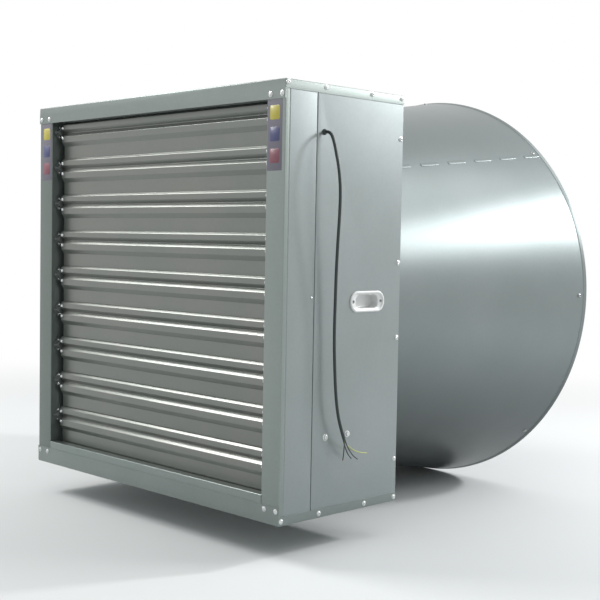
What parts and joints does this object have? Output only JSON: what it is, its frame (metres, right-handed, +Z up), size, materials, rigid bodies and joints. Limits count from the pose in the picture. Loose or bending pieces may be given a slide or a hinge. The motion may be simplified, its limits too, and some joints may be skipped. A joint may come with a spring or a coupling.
{
  "type": "cone exhaust fan",
  "caption": "Belt-driven exhaust fan in a square sheet-steel cabinet with a louver shutter in front, a flared discharge cone behind, flush handles and a hanging supply cable.",
  "frame": {"origin": "centre of the cabinet's underside, where it rests on the sill of the wall opening", "axes": "+X to the right when facing the louvers, +Y from the louvers to the cone's outlet, +Z up"},
  "size_m": [1.6196, 1.555, 1.6196],
  "materials": {
    "galvanised_sheet": "spangled zinc coat, satin",
    "side_sheet": "zinc coat, satin, slightly blue",
    "louver_sheet": "roll-formed zinc-coated sheet",
    "cone_sheet": "smooth zinc coat, soft gloss",
    "guard_wire": "zinc-coated wire",
    "frame_steel": "zinc-coated section",
    "bright_steel": "turned and bright",
    "cast_iron": "painted casting",
    "motor_paint": "enamelled casting",
    "belt_rubber": "matte wrapped belt",
    "blade_steel": "bright rolled sheet",
    "bush_nylon": "moulded, pale grey",
    "handle_plastic": "silvery moulding",
    "zinc_fastener": "bright zinc",
    "cable_rubber": "black sheath, low sheen",
    "core_plastic": "insulated cores"
  },
  "bodies": {
    "root": {"top_panel": "galvanised_sheet", "bottom_panel": "galvanised_sheet", "right_upright": "galvanised_sheet", "left_upright": "galvanised_sheet", "shutter_head": "galvanised_sheet", "shutter_sill": "galvanised_sheet", "rear_panel": "galvanised_sheet", "throat_ring": "galvanised_sheet", "right_side_panel": "side_sheet", "left_side_panel": "side_sheet", "right_shutter_panel": "side_sheet", "left_shutter_panel": "side_sheet", "cone_lower_shell": "cone_sheet", "cone_upper_shell": "cone_sheet", "guard_hoop": "guard_wire", "outlet_guard": "guard_wire", "guard_clips": "guard_wire", "motor_rail": "frame_steel", "support_posts": "frame_steel", "bearing_plate": "frame_steel", "slide_rails": "frame_steel", "rocker_brackets": "frame_steel", "shaft_bearings": "bright_steel", "bearing_housing": "cast_iron", "motor_body": "motor_paint", "motor_end_shield": "motor_paint", "motor_cowl": "motor_paint", "motor_feet": "motor_paint", "terminal_box": "motor_paint", "v_belt": "belt_rubber", "louver_bushes": "bush_nylon", "right_handle": "handle_plastic", "left_handle": "handle_plastic", "casing_screws": "zinc_fastener", "rim_screws": "zinc_fastener", "rail_bolts": "zinc_fastener", "cable_sheath": "cable_rubber", "cable_grommet": "cable_rubber", "cable_cores": "core_plastic"},
    "impeller": {"fan_shaft": "bright_steel", "fan_pulley": "cast_iron", "impeller_hub": "blade_steel", "impeller_blades": "blade_steel", "weight_carrier": "frame_steel"},
    "opener_rod": {"push_rod": "bright_steel"},
    "opener_weight_1": {"flyweight_1": "bright_steel"},
    "opener_weight_2": {"flyweight_2": "bright_steel"},
    "motor_rotor": {"motor_shaft": "bright_steel", "motor_pulley": "cast_iron"},
    "rocker": {"rocker_shaft": "bright_steel"},
    "linkage": {"link_bar": "bright_steel"},
    "louver_1": {"louver_1": "louver_sheet"},
    "louver_2": {"louver_2": "louver_sheet"},
    "louver_3": {"louver_3": "louver_sheet"},
    "louver_4": {"louver_4": "louver_sheet"},
    "louver_5": {"louver_5": "louver_sheet"},
    "louver_6": {"louver_6": "louver_sheet"},
    "louver_7": {"louver_7": "louver_sheet"},
    "louver_8": {"louver_8": "louver_sheet"},
    "louver_9": {"louver_9": "louver_sheet"}
  },
  "joints": [
    {"name": "fan_spin", "type": "hinge", "parent": "root", "child": "impeller", "pos_m": [0, 0.1225, 0.69], "axis": [0, 1, 0], "continuous": true},
    {"name": "motor_spin", "type": "hinge", "parent": "root", "child": "motor_rotor", "pos_m": [0, 0.1225, 0.388], "axis": [0, 1, 0], "continuous": true},
    {"name": "louver_1_tilt", "type": "hinge", "parent": "root", "child": "louver_1", "pos_m": [0, -0.2425, 1.287], "axis": [1, 0, 0], "range_deg": [0, 85]},
    {"name": "louver_2_tilt", "type": "hinge", "parent": "root", "child": "louver_2", "pos_m": [0, -0.2425, 1.14989], "axis": [1, 0, 0], "range_deg": [0, 85]},
    {"name": "louver_3_tilt", "type": "hinge", "parent": "root", "child": "louver_3", "pos_m": [0, -0.2425, 1.01278], "axis": [1, 0, 0], "range_deg": [0, 85]},
    {"name": "louver_4_tilt", "type": "hinge", "parent": "root", "child": "louver_4", "pos_m": [0, -0.2425, 0.87567], "axis": [1, 0, 0], "range_deg": [0, 85]},
    {"name": "louver_5_tilt", "type": "hinge", "parent": "root", "child": "louver_5", "pos_m": [0, -0.2425, 0.73856], "axis": [1, 0, 0], "range_deg": [0, 85]},
    {"name": "louver_6_tilt", "type": "hinge", "parent": "root", "child": "louver_6", "pos_m": [0, -0.2425, 0.60144], "axis": [1, 0, 0], "range_deg": [0, 85]},
    {"name": "louver_7_tilt", "type": "hinge", "parent": "root", "child": "louver_7", "pos_m": [0, -0.2425, 0.46433], "axis": [1, 0, 0], "range_deg": [0, 85]},
    {"name": "louver_8_tilt", "type": "hinge", "parent": "root", "child": "louver_8", "pos_m": [0, -0.2425, 0.32722], "axis": [1, 0, 0], "range_deg": [0, 85]},
    {"name": "louver_9_tilt", "type": "hinge", "parent": "root", "child": "louver_9", "pos_m": [0, -0.2425, 0.19011], "axis": [1, 0, 0], "range_deg": [0, 85]},
    {"name": "link_pivot", "type": "hinge", "parent": "louver_1", "child": "linkage", "pos_m": [-0.5915, -0.20564, 1.25322], "axis": [1, 0, 0], "range_deg": [-85, 0]},
    {"name": "rocker_turn", "type": "hinge", "parent": "root", "child": "rocker", "pos_m": [0, -0.0925, 0.6713], "axis": [1, 0, 0], "range_deg": [0, 85]},
    {"name": "rod_push", "type": "slide", "parent": "impeller", "child": "opener_rod", "axis": [0, -1, 0], "range_m": [0, 0.02908]},
    {"name": "weight_1_swing", "type": "hinge", "parent": "impeller", "child": "opener_weight_1", "pos_m": [0.06, -0.02554, 0.69], "axis": [0, 0, 1], "range_deg": [0, 45]},
    {"name": "weight_2_swing", "type": "hinge", "parent": "impeller", "child": "opener_weight_2", "pos_m": [-0.06, -0.02554, 0.69], "axis": [0, 0, -1], "range_deg": [0, 45]}
  ],
  "couplings": [
    {"joint": "motor_spin", "follows": "fan_spin", "ratio": 3.3769},
    {"joint": "louver_2_tilt", "follows": "louver_1_tilt", "ratio": 1},
    {"joint": "louver_3_tilt", "follows": "louver_1_tilt", "ratio": 1},
    {"joint": "louver_4_tilt", "follows": "louver_1_tilt", "ratio": 1},
    {"joint": "louver_5_tilt", "follows": "louver_1_tilt", "ratio": 1},
    {"joint": "louver_6_tilt", "follows": "louver_1_tilt", "ratio": 1},
    {"joint": "louver_7_tilt", "follows": "louver_1_tilt", "ratio": 1},
    {"joint": "louver_8_tilt", "follows": "louver_1_tilt", "ratio": 1},
    {"joint": "louver_9_tilt", "follows": "louver_1_tilt", "ratio": 1},
    {"joint": "link_pivot", "follows": "louver_1_tilt", "ratio": -1},
    {"joint": "rocker_turn", "follows": "louver_1_tilt", "ratio": 1},
    {"joint": "rod_push", "follows": "louver_1_tilt", "m_per_rad": 0.019605},
    {"joint": "weight_1_swing", "follows": "louver_1_tilt", "ratio": 0.52941},
    {"joint": "weight_2_swing", "follows": "louver_1_tilt", "ratio": 0.52941}
  ]
}
